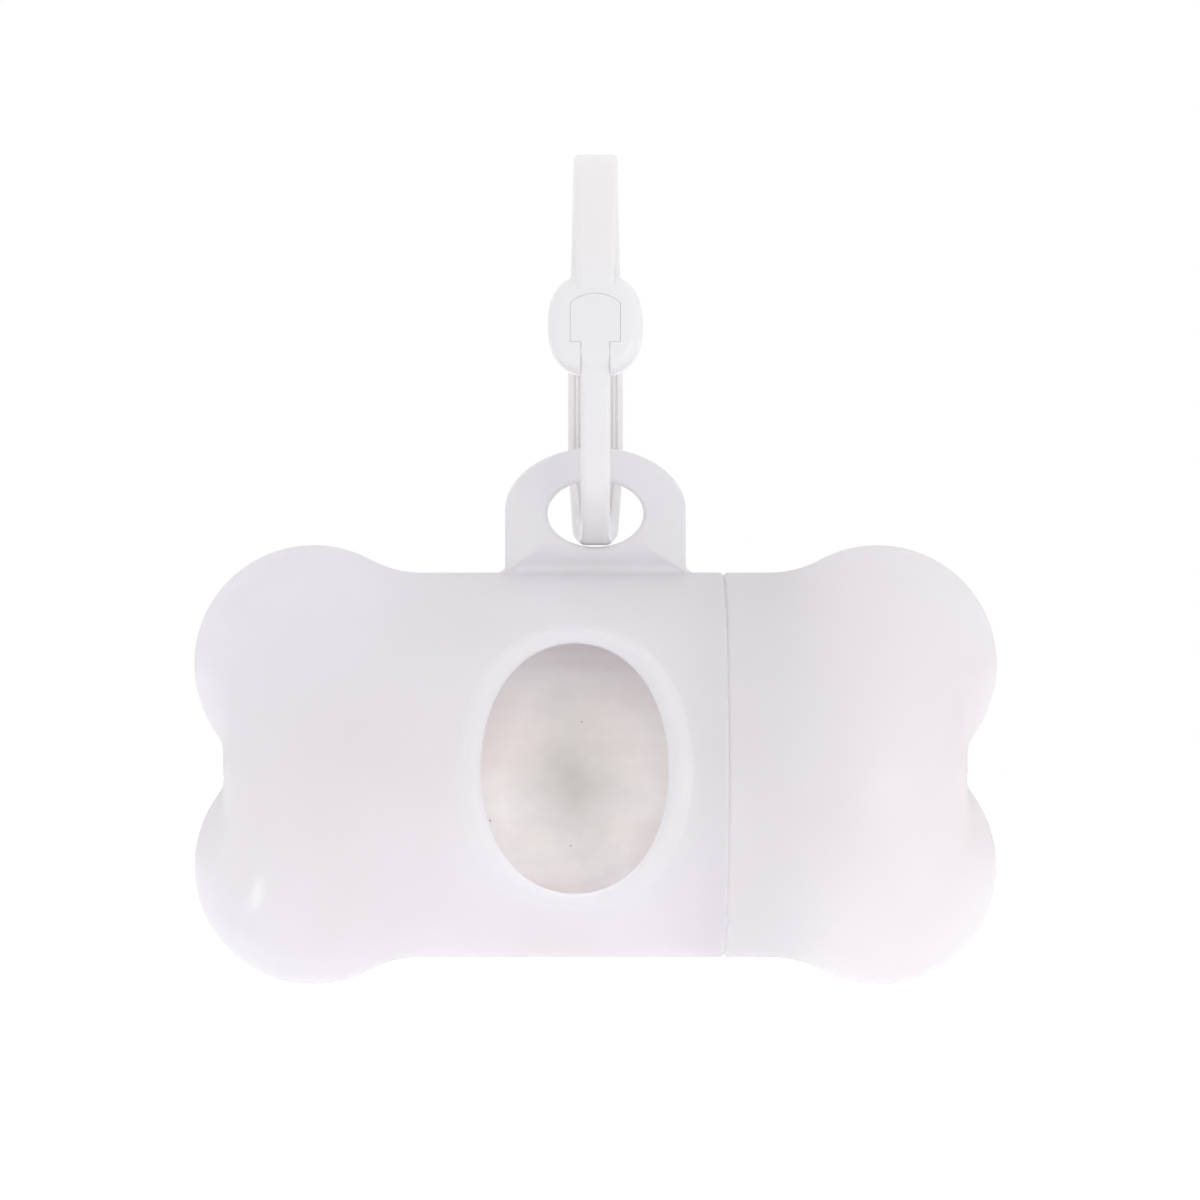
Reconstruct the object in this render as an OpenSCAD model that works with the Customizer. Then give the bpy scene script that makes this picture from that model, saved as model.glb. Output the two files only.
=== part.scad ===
// Bone-shaped dispenser for rolls of waste bags, hung from a moulded spring clip.
// X runs along the roll, Y from the window to the back, Z up. The origin is the middle of the
// clip's upper loop, where its inside bears on whatever the dispenser hangs from.

/* [Case] */
// Outside radius of the barrel
barrel_r = 19.6; // [19.3:0.1:20.4]
// Wall thickness of the case and of its end cap
wall = 1.8; // [1.6:0.1:2]
// Distance from the middle of the barrel to the centre of a lobe
lobe_x = 28.75; // [28.4:0.05:30]
// Height of a lobe's centre above the barrel's axis
lobe_z = 10.25; // [9.6:0.05:10.6]
// Radius of a lobe as seen from the front
lobe_r = 12.15; // [11.8:0.05:12.5]
// Distance from the middle of the barrel to the waist between two lobes
waist_x = 37.5; // [37:0.1:38.2]
// Radius of the hollow shoulder between the barrel and a lobe
shoulder_r = 10.8; // [9:0.1:12]
// How far the joint between case and cap lies from the middle of the barrel
seam_x = 13; // [12:0.1:14]
// Bevel on the two edges that meet at that joint
seam_bevel = 0.45; // [0.3:0.05:0.6]

/* [Window] */
// Width of the opening
window_w = 18.2; // [16:0.1:19]
// Height of the opening
window_h = 24.6; // [22:0.1:25]
// Middle of the opening, measured along the barrel
window_x = -2; // [-3:0.1:-1]
// Middle of the opening, measured up round the barrel from straight ahead
window_up = 0.3; // [0:0.1:0.5]
// Width of the rolled lip round the opening
lip_w = 2.5; // [2.2:0.1:2.8]
// How far the lip stands proud of the barrel
lip_h = 0.45; // [0.3:0.05:0.6]

/* [Hanger] */
// Width of the hanger plate
hanger_w = 18.4; // [17.6:0.1:19]
// Thickness of the hanger plate
hanger_t = 3; // [2.6:0.1:3]
// Height of the hanger's highest point above the barrel's axis
hanger_top = 32.3; // [32:0.1:33]
// Height of the plate's arched top, from where its straight sides end
hanger_arch = 6.4; // [6:0.1:7]
// Width of the eye
eye_w = 9.8; // [9:0.1:10.4]
// Height of the eye
eye_h = 6.8; // [6.8:0.1:7]
// Height of the eye's centre above the barrel's axis
eye_z = 25.6; // [25.4:0.1:25.6]

/* [Clip] */
// Height of the clip's top above the barrel's axis
clip_top = 62.2; // [61:0.1:64]
// Height of the clip's lowest point above the barrel's axis
clip_bottom = 22.5; // [22.5:0.05:22.8]
// Depth of the clip from its gate to its spine
clip_depth = 18; // [17.6:0.1:18.4]
// Thickness of the clip's band, in the plane of its loop
band_t = 2.7; // [2.5:0.1:2.8]
// Width of the band over the upper bend
band_top_w = 4.5; // [4.2:0.1:5]
// Width of the band where it runs into the nose
band_nose_w = 3.5; // [3.4:0.1:4.2]
// Width of the spine at the height of the hanger
band_spine_w = 5.7; // [5:0.1:6]
// Width of the band at the back of the eye, before it narrows to the gate
band_low_w = 4.8; // [4.4:0.1:5]
// Width of the gate's stem
gate_w = 2.9; // [2.7:0.1:3.1]
// Width of the nose
nose_w = 9.5; // [9:0.1:10]
// Height of the nose
nose_h = 10.3; // [10:0.1:11]
// Thickness of the nose, front to back
nose_t = 4.8; // [4.6:0.1:5]

/* [Roll] */
// Length of a standard roll of bags
roll_l = 60; // [58:0.5:61]
// Outside diameter of a full roll
roll_d = 30; // [28:0.5:30]
// Outside diameter of its cardboard core
core_d = 10.4; // [10:0.1:12]

/* [Hidden] */

// The clip's loop: the centres of its two bends, and the middle line of its band.
bend_r = clip_depth / 2 - band_t / 2;
upper_z = clip_top - clip_depth / 2;
lower_z = clip_bottom + clip_depth / 2;
origin_z = clip_top - band_t;

// The nose, the gate and the hinge between them.
nose_z = 44.2;
nose_edge = 1.6;
hinge_y = -bend_r;
hinge_z = lower_z + 1.6;
hinge_gap = 0.1;
head_w = 5;
head_low = 42.5;
head_h = 4.8;
head_t = 1.6;
head_ledge = 0.4;
catch_gap = 0.15;
nose_front = 1.2;
dip = 0.8;
bend_steps = 20;
band_flare = 0.5;
// Where the band narrows from the spine to the gate, in degrees round the lower bend.
taper_from = 60;
taper_to = 110;
band_edge = 0.7;
corner_steps = 3;

// The hub of each end, from which the end's skin is measured outward.
hub_x = 15;
end_power = 3.4;
lobe_spread = 3;
skin_turns = 48;
hub_angles = [90, 84, 78, 73, 69, 64, 58, 52, 46, 40, 34, 28, 23, 18, 14, 11, 8, 5, 2.5];

// Where the arcs of the front outline meet: shoulder to lobe, and lobe to waist.
shoulder_z = barrel_r + shoulder_r;
shoulder_x = lobe_x - sqrt(pow(lobe_r + shoulder_r, 2) - pow(shoulder_z - lobe_z, 2));
waist_step = waist_x - lobe_x;
waist_r = (pow(waist_step, 2) + pow(lobe_z, 2) - pow(lobe_r, 2)) / (2 * (lobe_r - waist_step));
waist_c = waist_x + waist_r;

// The push-fit collar that the cap slides onto, and the key that keeps the lobes in line.
seam_gap = 0.15;
collar_r = 18.5;
collar_t = 1;
collar_l = 8;
collar_fit = 0.1;
collar_root = 1.5;
key_w = 2.6;
key_l = 4.5;
key_gap = 0.2;

// The roll lies on the bottom of the barrel, and its bags wind round a thin core.
roll_drop = -2.3;
core_wall = 1;
film_t = 0.3;
film_gap = 0.05;
film_turn = 344;
roll_edge = 0.6;

lip_sections = 48;
lip_curl = 1.2;
lip_root = wall - 0.3;
eye_steps = 64;
edge_steps = 6;
hanger_foot = barrel_r - wall + 0.25;
round_fn = 96;
flare_r = 1.2;
flare_root = 0.35;
flare_skin = 0.04;
flare_steps = 7;
milky = [0.93, 0.92, 0.94];

// ---- the skin of one end, and the half of the barrel that leads to it ----

// Distance from the hub to a circle in the front outline, in the direction psi from the axis.
function circle_reach(cx, cz, r, psi, side) =
    let (dx = cx - hub_x, along = dx * cos(psi) + cz * sin(psi))
    along + side * sqrt(max(along * along - (dx * dx + cz * cz - r * r), 0));

// Direction from the hub in which two arcs of the outline meet, inset by w.
function meeting_angle(cx, cz, w) =
    let (share = (lobe_r - w) / (norm([cx - lobe_x, cz - lobe_z])))
    atan2(lobe_z + (cz - lobe_z) * share, lobe_x + (cx - lobe_x) * share - hub_x);

// Distance from the hub to the front outline, inset by w.
function front_reach(psi, w) =
    psi < meeting_angle(waist_c, 0, w) ? circle_reach(waist_c, 0, waist_r + w, psi, -1)
    : psi < meeting_angle(shoulder_x, shoulder_z, w) ? circle_reach(lobe_x, lobe_z, lobe_r - w, psi, 1)
    : psi < atan2(barrel_r - w, shoulder_x - hub_x)
        ? circle_reach(shoulder_x, shoulder_z, shoulder_r + w, psi, -1)
    : (barrel_r - w) / sin(psi);

// Distance from the hub to the outline seen from above, inset by w.
function plan_reach(psi, w) =
    pow(pow(cos(psi) / (waist_x - hub_x - w), end_power)
        + pow(sin(psi) / (barrel_r - w), end_power), -1 / end_power);

// A point of the skin: psi from the axis, turn about it from the back.
function skin_point(psi, turn, w) =
    let (plan = plan_reach(psi, w),
         reach = plan + (front_reach(psi, w) - plan) * pow(abs(sin(turn)), lobe_spread))
    [hub_x + reach * cos(psi), reach * sin(psi) * cos(turn), reach * sin(psi) * sin(turn)];

function ring_at(x, r) =
    [for (j = [0 : skin_turns - 1])
        let (turn = 360 * j / skin_turns) [x, r * cos(turn), r * sin(turn)]];

function skin_rings(w) =
    [for (psi = hub_angles) for (j = [0 : skin_turns - 1]) skin_point(psi, 360 * j / skin_turns, w)];

// Two triangles between four corners, and a band of them between two rings of n points.
function quad(a, b, c, d) = [[a, b, c], [a, c, d]];

function band_faces(first, second, n) =
    [for (j = [0 : n - 1])
        let (k = (j + 1) % n) each quad(first + j, second + j, second + k, first + k)];

// One end's shell, open at mouth_x, with its bevelled edge there.
module end_shell(mouth_x) {
    outer = concat(ring_at(mouth_x, barrel_r - seam_bevel), ring_at(mouth_x + seam_bevel, barrel_r),
                   skin_rings(0), [[waist_x, 0, 0]]);
    inner = concat(ring_at(mouth_x, barrel_r - wall), skin_rings(wall), [[waist_x - wall, 0, 0]]);
    outer_rings = len(hub_angles) + 2;
    inner_rings = len(hub_angles) + 1;
    start = len(outer);
    pole = start - 1;
    inner_pole = start + len(inner) - 1;
    outer_last = (outer_rings - 1) * skin_turns;
    inner_last = start + (inner_rings - 1) * skin_turns;
    faces = concat(
        [for (i = [0 : outer_rings - 2])
            each band_faces(i * skin_turns, (i + 1) * skin_turns, skin_turns)],
        [for (j = [0 : skin_turns - 1])
            [outer_last + j, pole, outer_last + (j + 1) % skin_turns]],
        [for (i = [0 : inner_rings - 2])
            each band_faces(start + (i + 1) * skin_turns, start + i * skin_turns, skin_turns)],
        [for (j = [0 : skin_turns - 1])
            [inner_last + (j + 1) % skin_turns, inner_pole, inner_last + j]],
        band_faces(start, 0, skin_turns));
    polyhedron(points = concat(outer, inner), faces = faces, convexity = 6);
}

module along_x() {
    rotate([0, 90, 0]) children();
}

// ---- the window ----

// Half the opening's height as an arc on the barrel.
window_arc = barrel_r * asin(window_h / 2 / barrel_r) * PI / 180;

// A point on the barrel near the opening's edge: out from the edge, and up from the skin. Under
// the skin it keeps its height, so that the opening's wall runs straight back, as the core draws.
function window_point(t, out, up) =
    let (a = window_w / 2, b = window_arc,
         n = [b * cos(t), a * sin(t)] / norm([b * cos(t), a * sin(t)]),
         u = a * cos(t) + n[0] * out,
         turn = (window_up + b * sin(t) + n[1] * out) / barrel_r * 180 / PI,
         z = (barrel_r + max(up, 0)) * sin(turn))
    [window_x + u, -sqrt(pow(barrel_r + up, 2) - z * z), z];

// The lip's section: from the wall's inside, round the rolled crest, to the barrel's skin.
lip_section = [[0.5, -lip_root], [0.05, -lip_root * 0.6], [0.1, -0.45], [0.4, 0.02],
               [0.85, lip_h * 0.8], [lip_curl + 0.1, lip_h], [1.8, lip_h * 0.75],
               [lip_w, -0.25], [lip_w, -0.7], [lip_w * 0.7, -lip_root]];

module window_lip() {
    m = len(lip_section);
    points = [for (i = [0 : lip_sections - 1]) for (s = lip_section)
        window_point(360 * i / lip_sections, s[0], s[1])];
    faces = [for (i = [0 : lip_sections - 1])
        each band_faces(i * m, ((i + 1) % lip_sections) * m, m)];
    polyhedron(points = points, faces = faces, convexity = 4);
}

// What the opening takes out of the wall: the same outline, from well inside to well outside.
module window_cutter() {
    n = lip_sections;
    deep = -wall - 0.5;
    proud = 2;
    points = concat(
        [for (up = [deep, proud]) for (i = [0 : n - 1]) window_point(360 * (i + 0.5) / n, lip_curl, up)],
        [for (up = [deep, proud]) [window_x, -barrel_r - up, window_up]]);
    faces = concat(
        band_faces(0, n, n),
        [for (i = [0 : n - 1]) [2 * n, i, (i + 1) % n]],
        [for (i = [0 : n - 1]) [2 * n + 1, n + (i + 1) % n, n + i]]);
    polyhedron(points = points, faces = faces, convexity = 4);
}

// ---- the hanger ----

// The outline of the plate at angle t: an arch above, straight sides and a foot below.
function outline_point(t) =
    let (p = [cos(t), sin(t)] / max(abs(cos(t)), abs(sin(t))), arch_z = hanger_top - hanger_arch)
    sin(t) >= 0 ? [hanger_w / 2 * cos(t), arch_z + hanger_arch * sin(t)]
    : [hanger_w / 2 * p[0], arch_z + (arch_z - hanger_foot) * p[1]];

function outline_normal(t) =
    let (n = sin(t) >= 0 ? [hanger_arch * cos(t), hanger_w / 2 * sin(t)] : [cos(t), sin(t)])
    n / norm(n);

// One slice of the plate, from the eye to the outline, with full-round edges at both.
function hanger_slice(t) =
    let (r = hanger_t / 2,
         eye_n = [eye_h * cos(t), eye_w * sin(t)] / norm([eye_h * cos(t), eye_w * sin(t)]),
         eye_c = [eye_w / 2 * cos(t), eye_z + eye_h / 2 * sin(t)] + r * eye_n,
         rim_n = outline_normal(t),
         rim_c = outline_point(t) - r * rim_n)
    concat([for (i = [0 : edge_steps])
                let (a = 180 * i / edge_steps - 90, c = rim_c + r * cos(a) * rim_n)
                [c[0], r * sin(a), c[1]]],
           [for (i = [0 : edge_steps])
                let (a = 90 - 180 * i / edge_steps, c = eye_c - r * cos(a) * eye_n)
                [c[0], r * sin(a), c[1]]]);

module hanger_plate() {
    m = 2 * (edge_steps + 1);
    points = [for (i = [0 : eye_steps - 1]) each hanger_slice(360 * i / eye_steps)];
    faces = [for (i = [0 : eye_steps - 1]) each band_faces(i * m, ((i + 1) % eye_steps) * m, m)];
    polyhedron(points = points, faces = faces, convexity = 4);
}

// A hollow fillet all round the plate's foot, in slices that narrow as they rise.
module flare_slice(share) {
    spread = flare_r * (1 - sqrt(1 - pow(1 - share, 2))) + flare_skin;
    for (side = [-1, 1])
        translate([side * (hanger_w - hanger_t) / 2, 0, barrel_r - flare_root + flare_r * share])
            cylinder(d = hanger_t + 2 * spread, h = 0.02, $fn = 40);
}

module hanger_flare() {
    for (i = [0 : flare_steps - 1]) hull() {
        flare_slice(i / flare_steps);
        flare_slice((i + 1) / flare_steps);
    }
    hull() {
        flare_slice(0);
        translate([0, 0, -wall / 3]) flare_slice(0);
    }
}

module collar() {
    difference() {
        translate([seam_x - collar_root, 0, 0]) along_x()
            cylinder(r = collar_r, h = collar_root + collar_l, $fn = round_fn);
        translate([seam_x - collar_root - 1, 0, 0]) along_x()
            cylinder(r = collar_r - collar_t, h = collar_root + collar_l + 2, $fn = round_fn);
        translate([seam_x + collar_l - key_l - key_gap, -key_w / 2 - key_gap, 0])
            cube([key_l + key_gap + 1, key_w + 2 * key_gap, collar_r + 1]);
    }
}

module case_body() {
    color(milky) translate([0, 0, -origin_z]) {
        difference() {
            mirror([1, 0, 0]) end_shell(-seam_x);
            window_cutter();
        }
        window_lip();
        hanger_plate();
        hanger_flare();
        collar();
    }
}

module end_cap() {
    mouth_x = seam_x + seam_gap;
    bore_l = collar_l + seam_gap + 0.4;
    color(milky) translate([0, 0, -origin_z]) {
        difference() {
            end_shell(mouth_x);
            translate([mouth_x - 1, 0, 0]) along_x()
                cylinder(r = collar_r + collar_fit, h = bore_l + 1, $fn = round_fn);
        }
        // The key on the cap's inside, which drops into the notch in the collar.
        translate([seam_x + collar_l - key_l, -key_w / 2, collar_r - collar_t])
            cube([key_l + 1.2, key_w, collar_t + 0.6]);
    }
}

// ---- the clip ----

// The band's section, w wide and band_t thick, as points [across, outward] round its corners.
function band_section(w) =
    [for (corner = [[1, 1], [-1, 1], [-1, -1], [1, -1]]) for (i = [0 : corner_steps])
        let (a = 90 * i / corner_steps, flip = corner[0] * corner[1] > 0,
             c = flip ? [cos(a), sin(a)] : [sin(a), cos(a)])
        [corner[0] * (w / 2 - band_edge + band_edge * c[0]),
         corner[1] * (band_t / 2 - band_edge + band_edge * c[1])]];

// The same section standing on the loop at y, z, where outward points along turn.
function band_ring(y, z, turn, w) =
    [for (p = band_section(w)) [p[0], y - p[1] * cos(turn), z + p[1] * sin(turn)]];

// The loop's stations, [y, z, turn, width], from the nose over the top and round to the hinge.
function mix(a, b, share) = a + (b - a) * share;

function smooth(share) = let (s = max(min(share, 1), 0)) s * s * (3 - 2 * s);

function low_width(a) =
    a < taper_from ? mix(band_spine_w, band_low_w, a / taper_from)
    : mix(band_low_w, gate_w, smooth((a - taper_from) / (taper_to - taper_from)));

band_stations = concat(
    [[-bend_r, nose_z + nose_h * 0.35, 0, band_nose_w]],
    [for (i = [0 : bend_steps])
        let (a = 180 * i / bend_steps)
        [-bend_r * cos(a), upper_z + bend_r * sin(a), a, band_top_w + band_flare * (a / 90 - 1)]],
    [[bend_r, nose_z, 180, band_spine_w - 0.3],
     [bend_r, lower_z + 3, 180, band_spine_w]],
    [for (i = [0 : bend_steps])
        let (a = 180 * i / bend_steps)
        [bend_r * cos(a), lower_z - bend_r * sin(a), 180 + a, low_width(a)]],
    [[-bend_r, hinge_z, 360, gate_w]]);

module band() {
    m = 4 * (corner_steps + 1);
    n = len(band_stations);
    points = [for (s = band_stations) each band_ring(s[0], s[1], s[2], s[3])];
    faces = concat(
        [for (i = [0 : n - 2]) each band_faces((i + 1) * m, i * m, m)],
        [for (j = [1 : m - 2]) [0, j + 1, j]],
        [for (j = [1 : m - 2]) [(n - 1) * m, (n - 1) * m + j, (n - 1) * m + j + 1]]);
    polyhedron(points = points, faces = faces, convexity = 6);
}

// A flattened, rounded nose: its outline is nearly round, and its edges are full.
module nose_solid() {
    spread = (nose_h - nose_w) / 2;
    hull() for (s = [-1, 1])
        translate([0, 0, s * spread]) rotate([90, 0, 0])
            rotate_extrude($fn = 48)
                translate([nose_w / 2 - nose_edge, 0]) intersection() {
                    union() {
                        for (t = [-1, 1])
                            translate([0, t * (nose_t / 2 - nose_edge)]) circle(r = nose_edge, $fn = 24);
                        square([2 * nose_edge, nose_t - 2 * nose_edge], center = true);
                        translate([-2, -nose_t / 2]) square([2, nose_t]);
                    }
                    translate([-2, -nose_t / 2]) square([2 + nose_edge, nose_t]);
                }
}

// The head's outline, grown by more: a bar with a gently arched top.
module head_outline(more) {
    arch_r = head_w * 0.75 + more;
    translate([0, head_low - more]) intersection() {
        translate([-head_w / 2 - more, 0]) square([head_w + 2 * more, head_h + 2 * more]);
        translate([0, head_h + 2 * more - arch_r]) circle(r = arch_r, $fn = round_fn);
    }
}

// A slab of the head's outline, from the depth near to the depth far.
module head_slab(more, near, far) {
    translate([0, far, 0]) rotate([90, 0, 0]) linear_extrude(far - near) head_outline(more);
}

// The catch in the nose: a slot for the stem, a window for the head's face, and behind it a wider
// pocket, so that the nose's front holds the head in.
module nose_catch() {
    slot_w = gate_w + 2 * catch_gap;
    slot_low = nose_z - nose_h;
    front = hinge_y - nose_t / 2;
    translate([-slot_w / 2, front - 1, slot_low])
        cube([slot_w, nose_t + 2, head_low + 0.5 - slot_low]);
    head_slab(catch_gap, front - 1, front + nose_front + 1);
    head_slab(head_ledge + catch_gap, front + nose_front, front + nose_t + band_t);
    // The head dips a little as it swings back, so the pocket's floor lies lower behind it.
    floor_w = head_w + 2 * (head_ledge + 2 * catch_gap);
    translate([-floor_w / 2, front + nose_front, head_low - head_ledge - dip])
        cube([floor_w, nose_t, dip + head_ledge]);
}

module clip_frame() {
    color(milky) translate([0, 0, -origin_z]) difference() {
        union() {
            band();
            translate([0, hinge_y, nose_z]) nose_solid();
        }
        nose_catch();
        translate([0, hinge_y, hinge_z]) along_x()
            cylinder(d = band_t + 2 * hinge_gap, h = band_top_w * 2, center = true, $fn = round_fn);
    }
}

module clip_gate() {
    edge = 0.5;
    front = hinge_y - nose_t / 2;
    ledge_y = front + nose_front + catch_gap;
    color(milky) translate([0, 0, -origin_z]) {
        translate([0, hinge_y, hinge_z]) along_x()
            cylinder(d = band_t, h = gate_w, center = true, $fn = round_fn);
        translate([0, hinge_y, hinge_z]) linear_extrude(head_low + 0.5 - hinge_z) {
            square([gate_w, band_t - 2 * edge], center = true);
            square([gate_w - 2 * edge, band_t], center = true);
            for (sx = [-1, 1]) for (sy = [-1, 1])
                translate([sx * (gate_w / 2 - edge), sy * (band_t / 2 - edge)])
                    circle(r = edge, $fn = 24);
        }
        head_slab(0, front + 0.1, ledge_y + 0.1);
        head_slab(head_ledge, ledge_y, ledge_y + head_t);
    }
}

// ---- the roll of bags ----

module roll_place() {
    translate([0, 0, roll_drop - origin_z]) along_x() children();
}

module roll_core() {
    color([0.75, 0.66, 0.52]) roll_place() difference() {
        cylinder(d = core_d, h = roll_l, center = true, $fn = round_fn);
        cylinder(d = core_d - 2 * core_wall, h = roll_l + 1, center = true, $fn = round_fn);
    }
}

module bag_roll() {
    outer_r = roll_d / 2 - film_t - film_gap;
    inner_r = core_d / 2 + film_gap;
    color([0.8, 0.78, 0.77]) roll_place() translate([0, 0, -roll_l / 2])
        rotate_extrude($fn = round_fn)
            polygon([[inner_r, 0], [outer_r - roll_edge, 0], [outer_r, roll_edge],
                     [outer_r, roll_l - roll_edge], [outer_r - roll_edge, roll_l], [inner_r, roll_l]]);
}

module leading_bag() {
    color([0.82, 0.8, 0.79]) roll_place() translate([0, 0, -roll_l / 2 + roll_edge])
        rotate([0, 0, 180 + (360 - film_turn) / 2]) rotate_extrude(angle = film_turn, $fn = round_fn)
            translate([roll_d / 2 - film_t, 0]) square([film_t, roll_l - 2 * roll_edge]);
}

case_body();
end_cap();
clip_frame();
clip_gate();
roll_core();
bag_roll();
leading_bag();
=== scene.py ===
"""Looks of a bone-shaped dispenser for rolls of waste bags, which hangs from a moulded clip.

The case and its cap are one bone in milky plastic, with a rolled lip round the window and a
hanger plate on top. Sizes are in millimetres, as in the part's own source, and become metres
where a mesh is made.
"""

import logging
import math
from dataclasses import dataclass, field
from enum import Enum

import bmesh
import bpy
import numpy as np
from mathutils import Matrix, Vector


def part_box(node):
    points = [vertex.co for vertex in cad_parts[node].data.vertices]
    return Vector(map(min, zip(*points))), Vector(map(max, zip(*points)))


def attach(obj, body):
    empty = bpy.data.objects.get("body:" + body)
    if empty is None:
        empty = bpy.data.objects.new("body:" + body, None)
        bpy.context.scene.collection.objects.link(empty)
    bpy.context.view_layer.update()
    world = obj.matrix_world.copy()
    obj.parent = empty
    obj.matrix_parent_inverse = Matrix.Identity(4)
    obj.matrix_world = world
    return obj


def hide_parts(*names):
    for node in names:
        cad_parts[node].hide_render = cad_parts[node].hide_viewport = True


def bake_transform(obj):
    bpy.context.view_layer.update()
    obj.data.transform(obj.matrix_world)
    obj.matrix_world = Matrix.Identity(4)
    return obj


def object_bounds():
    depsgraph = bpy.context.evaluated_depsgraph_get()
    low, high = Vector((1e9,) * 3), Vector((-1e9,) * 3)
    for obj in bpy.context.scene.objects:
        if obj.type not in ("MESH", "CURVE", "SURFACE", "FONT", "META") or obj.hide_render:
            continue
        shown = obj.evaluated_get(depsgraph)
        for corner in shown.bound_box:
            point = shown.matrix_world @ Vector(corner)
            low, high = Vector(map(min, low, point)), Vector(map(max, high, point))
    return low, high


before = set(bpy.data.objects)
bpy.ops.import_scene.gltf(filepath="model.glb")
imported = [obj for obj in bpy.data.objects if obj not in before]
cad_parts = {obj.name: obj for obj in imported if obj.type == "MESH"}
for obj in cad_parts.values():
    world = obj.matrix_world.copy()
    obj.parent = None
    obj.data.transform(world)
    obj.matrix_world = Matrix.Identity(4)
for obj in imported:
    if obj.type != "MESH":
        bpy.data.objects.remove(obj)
cad_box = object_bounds()

Piece = bpy.types.Object
Socket = bpy.types.NodeSocket
Pair = tuple[float, float]
Triple = tuple[float, float, float]

LOG = logging.getLogger("dispenser")
MM = 0.001
FLOOR_DROP = 0.12
QUARTER = math.pi / 2


class Slot(Enum):
    """The record's material slots."""

    CASE = "case_plastic"
    CLIP = "clip_plastic"
    FILM = "bag_film"
    BOARD = "core_board"


class Body(Enum):
    """The bodies that pieces ride on."""

    CLIP = "clip"
    GATE = "gate"
    CASE = "case"
    CAP = "cap"
    ROLL = "roll"


# ---- meshes ----


class Surface:
    """Points in millimetres and the faces between them, gathered into one mesh."""

    def __init__(self) -> None:
        """Starts with nothing in it."""
        self.points: list[np.ndarray] = []
        self.faces: list[tuple[int, ...]] = []
        self.milk_and_shade: list[np.ndarray] = []
        self.count = 0

    def add(self, points: np.ndarray, milk_and_shade: float | np.ndarray = 0.0) -> np.ndarray:
        """Adds points.

        Args:
            points: Rows of x, y and z.
            milk_and_shade: How thick and white the plastic is, with painted shading on hanger and
                lip, 0 to 1, for all or for each.

        Returns:
            The points' numbers, in the same order.
        """
        points = np.asarray(points, float).reshape(-1, 3)
        self.points.append(points)
        self.milk_and_shade.append(np.full(len(points), 1.0) * milk_and_shade)
        self.count += len(points)
        return np.arange(self.count - len(points), self.count)

    def strip(self, first: np.ndarray, second: np.ndarray, closed: bool = True) -> None:
        """Adds quads between two rows of points.

        Args:
            first: One row's numbers.
            second: The other row's numbers, as many.
            closed: Whether the last quad joins the rows' ends.
        """
        n = len(first)
        for j in range(n if closed else n - 1):
            k = (j + 1) % n
            self.faces.append((first[j], second[j], second[k], first[k]))

    def loft(self, rows: list[np.ndarray], closed: bool = True, ring: bool = False) -> None:
        """Joins each row to the next one.

        Args:
            rows: The rows' numbers.
            closed: Whether each row is a closed ring.
            ring: Whether the last row joins the first one.
        """
        for first, second in zip(rows, rows[1:]):
            self.strip(first, second, closed)
        if ring:
            self.strip(rows[-1], rows[0], closed)

    def fan(self, row: np.ndarray, tip: np.ndarray) -> None:
        """Closes a ring of points with triangles to one point.

        Args:
            row: The ring's numbers.
            tip: The point's number, as add returns it.
        """
        for j in range(len(row)):
            self.faces.append((row[j], tip[0], row[(j + 1) % len(row)]))

    def lids(self, rows: list[np.ndarray]) -> None:
        """Closes both ends of a loft with a face each."""
        self.faces += [tuple(rows[0]), tuple(rows[-1])]

    def build(self, name: str, up: float, sharp: float = 38.0) -> Piece:
        """Makes the mesh.

        Args:
            name: The piece's name.
            up: How far the points are raised, in millimetres.
            sharp: The angle in degrees above which an edge is shaded sharp.

        Returns:
            The new object, at the origin.
        """
        points = (np.concatenate(self.points) + (0, 0, up)) * MM
        mesh = bpy.data.meshes.new(name)
        mesh.from_pydata(points.tolist(), [], [tuple(map(int, f)) for f in self.faces])
        milk_and_shade = mesh.attributes.new("milk_and_shade", "FLOAT", "POINT")
        milk_and_shade.data.foreach_set("value", np.concatenate(self.milk_and_shade).astype(np.float32))
        obj = bpy.data.objects.new(name, mesh)
        bpy.context.scene.collection.objects.link(obj)
        turn_outward(mesh)
        shade(mesh, sharp)
        return obj


def turn_outward(mesh: bpy.types.Mesh) -> None:
    """Turns every face of a closed mesh to face outward."""
    work = bmesh.new()
    work.from_mesh(mesh)
    bmesh.ops.recalc_face_normals(work, faces=work.faces)
    work.to_mesh(mesh)
    work.free()


def shade(mesh: bpy.types.Mesh, sharp: float) -> None:
    """Shades a mesh smooth, but for its edges above an angle in degrees."""
    mesh.shade_smooth()
    mesh.set_sharp_from_angle(angle=math.radians(sharp))


def carve(piece: Piece, tool: Piece, operation: str, sharp: float) -> None:
    """Joins a tool mesh to a piece, or cuts it out, and removes the tool.

    Args:
        piece: The piece, which keeps its name.
        tool: The other mesh.
        operation: UNION or DIFFERENCE.
        sharp: The angle in degrees above which an edge is shaded sharp.
    """
    modifier = piece.modifiers.new("carve", "BOOLEAN")
    modifier.object = tool
    modifier.operation = operation
    modifier.solver = "MANIFOLD"
    bpy.context.view_layer.update()
    carved = piece.evaluated_get(bpy.context.evaluated_depsgraph_get())
    mesh = bpy.data.meshes.new_from_object(carved)
    piece.modifiers.remove(modifier)
    piece.data = mesh
    mesh.name = piece.name
    bpy.data.objects.remove(tool)
    shade(mesh, sharp)


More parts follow.
